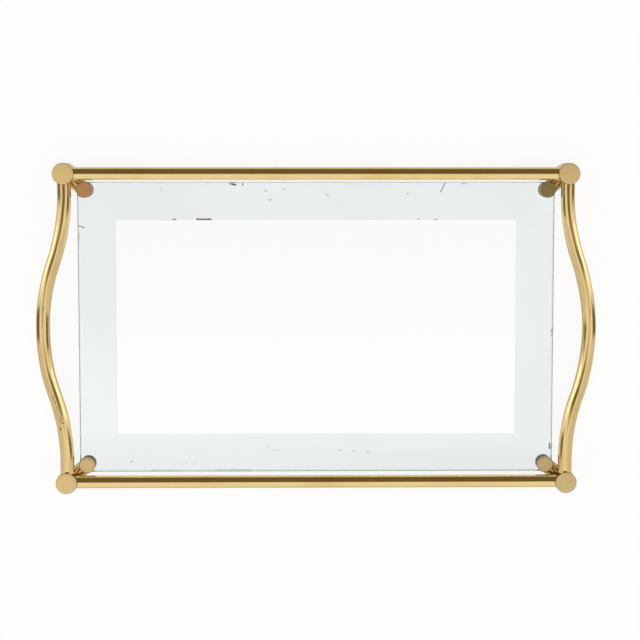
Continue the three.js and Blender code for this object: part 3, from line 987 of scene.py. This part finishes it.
class TRAY_OT_stage(bpy.types.Operator):
    """Sets up the camera, the floor and the studio light"""
    bl_idname = "tray.stage"
    bl_label = "Stage"

    def execute(self, context):
        self.camera()
        self.floor()
        self.surroundings()
        self.fill()
        context.scene.view_settings.view_transform = "Standard"
        return {"FINISHED"}

    @staticmethod
    def camera():
        stage = studio()
        lens = bpy.data.cameras.new("studio_camera")
        lens.lens, lens.sensor_width = stage.lens, 36.0
        lens.clip_start, lens.clip_end = 0.02, 60.0
        camera = bpy.data.objects.new("studio_camera", lens)
        bpy.context.scene.collection.objects.link(camera)
        eye, target = Vector(stage.eye), Vector(stage.target)
        back = (eye - target).normalized()
        right = Vector((0, 1, 0)).cross(back).normalized()
        up = back.cross(right)
        camera.matrix_world = Matrix((right, up, back)).transposed().to_4x4()
        camera.location = eye
        bpy.context.scene.camera = camera

    @staticmethod
    def floor():
        """A level square under the feet, washed out to near white. Pieces mirror the ground of
        the surroundings instead."""
        stage = studio()
        half, under = stage.floor_size / 2, CAD_BOX[0].z - 0.01 * MM
        corners = [(-half, -half, under), (half, -half, under), (half, half, under),
                   (-half, half, under)]
        mesh = bpy.data.meshes.new("studio_floor")
        mesh.from_pydata(corners, [], [(0, 1, 2, 3)])
        floor = bpy.data.objects.new("studio_floor", mesh)
        bpy.context.scene.collection.objects.link(floor)
        made, s = material("studio_floor")
        cloud = s.noise(s.place(), 1.5, 2.0)
        darker = tuple(c * 0.985 for c in stage.floor)
        matt = s.node("ShaderNodeBsdfPrincipled", None,
                      {"Base Color": s.mix(cloud, stage.floor, darker), "Roughness": 0.9})["BSDF"]
        path = s.node("ShaderNodeLightPath")
        strength = path["Is Transmission Ray"] * FLOOR_LIFT + FLOOR_WHITE
        white = {"Color": (1.0, 1.0, 1.0), "Strength": strength}
        white = s.node("ShaderNodeEmission", None, white)["Emission"]
        clear = s.node("ShaderNodeBsdfTransparent")["BSDF"]
        seen = path["Is Camera Ray"].larger(path["Is Transmission Ray"])
        washed = {0: seen * stage.floor_glow, 1: matt, 2: white}
        washed = s.node("ShaderNodeMixShader", None, washed)["Shader"]
        whole = {0: path["Is Glossy Ray"], 1: washed, 2: clear}
        s.show(s.node("ShaderNodeMixShader", None, whole)["Shader"])
        mesh.materials.append(made)

    @staticmethod
    def surroundings():
        """A dim warm room with a large soft light to the front, whose edge passes nearly
        overhead and curves back at the sides, a dark gap in it low on either side, a window
        behind each gap, and pale ground. The light dims a little to the sides. Rays that have
        crossed the glass find a plain ceiling instead, which the silvering mirrors."""
        stage = studio()
        world = bpy.data.worlds.new("studio")
        bpy.context.scene.world = world
        s = Sheet(world)
        direction = s.node("ShaderNodeTexCoord")["Generated"]
        # Each is 1 straight towards what it is named for, and 0 across it.
        side = s.part(direction, "X").math("ABSOLUTE")
        back, high = s.part(direction, "Y"), s.part(direction, "Z")
        # The front light is whatever lies before its edge, which is soft by this much.
        edge, soft = side.ramp(0.15, 0.80, -0.0775, 0.11), 0.0425
        front = (edge - back).ramp(-soft, soft)
        flank = side.ramp(0.20, 0.40) * back.ramp(-0.12, -0.20)
        window = side.ramp(0.66, 0.84) * back.ramp(0.06, 0.13) * high.ramp(-0.3, 0.0)
        gap = side.ramp(0.76, 0.86) * back.ramp(-0.16, -0.12) * back.ramp(0.05, -0.02)
        front = front * (1.0 - flank * 0.3) * (1.0 - gap)
        below = high.ramp(0.0, -0.15) * (1.0 - gap)
        colour = s.mix(front, stage.room, (stage.softbox,) * 3)
        colour = s.mix(below, colour, stage.ground)
        colour = s.mix(window, colour, (stage.window,) * 3)
        path = s.node("ShaderNodeLightPath")
        through = path["Transmission Depth"].math("GREATER_THAN", 0.5)
        colour = s.mix(through, colour, stage.ceiling)
        colour = s.mix(path["Is Camera Ray"], colour, stage.backdrop)
        shader = s.node("ShaderNodeBackground", None, {"Color": colour, "Strength": 1.0})
        s.node("ShaderNodeOutputWorld", None, {"Surface": shader["Background"]})

    @staticmethod
    def fill():
        stage = studio()
        light = bpy.data.lights.new("overhead_fill", "SUN")
        light.energy, light.angle = stage.fill, radians(70)
        lamp = bpy.data.objects.new("overhead_fill", light)
        lamp.visible_glossy = lamp.visible_transmission = False
        bpy.context.scene.collection.objects.link(lamp)


class TRAY_PT_tray(bpy.types.Panel):
    """Lists the tray's sizes, finishes and pieces"""
    bl_idname = "TRAY_PT_tray"
    bl_label = "Gallery Tray"
    bl_space_type = "VIEW_3D"
    bl_region_type = "UI"
    bl_category = "Tray"

    def draw(self, context):
        for group in (shape(), finish(), studio()):
            box = self.layout.box()
            for name in group.__annotations__:
                box.prop(group, name)
        for operator in OPERATORS:
            self.layout.operator(operator.bl_idname)


OPERATORS = (
    TRAY_OT_stage,
    TRAY_OT_corner_posts,
    TRAY_OT_rails,
    TRAY_OT_handles,
    TRAY_OT_clip_arms,
    TRAY_OT_glass_clips,
    TRAY_OT_rubber_feet,
    TRAY_OT_glass_bed,
    TRAY_OT_silvered_border,
    TRAY_OT_fastenings,
)
CLASSES = (TRAY_PG_shape, TRAY_PG_finish, TRAY_PG_stage, *OPERATORS, TRAY_PT_tray)


def register():
    for made in CLASSES:
        bpy.utils.register_class(made)
    bpy.types.Scene.tray_shape = PointerProperty(type=TRAY_PG_shape)
    bpy.types.Scene.tray_finish = PointerProperty(type=TRAY_PG_finish)
    bpy.types.Scene.tray_stage = PointerProperty(type=TRAY_PG_stage)


def unregister():
    del bpy.types.Scene.tray_stage
    del bpy.types.Scene.tray_finish
    del bpy.types.Scene.tray_shape
    for made in reversed(CLASSES):
        bpy.utils.unregister_class(made)


def main():
    register()
    bpy.ops.tray.stage()
    bpy.ops.tray.corner_posts()
    bpy.ops.tray.rails()
    bpy.ops.tray.handles()
    bpy.ops.tray.clip_arms()
    bpy.ops.tray.glass_clips()
    bpy.ops.tray.rubber_feet()
    bpy.ops.tray.glass_bed()
    bpy.ops.tray.silvered_border()
    bpy.ops.tray.fastenings()


if __name__ == "__main__":
    main()
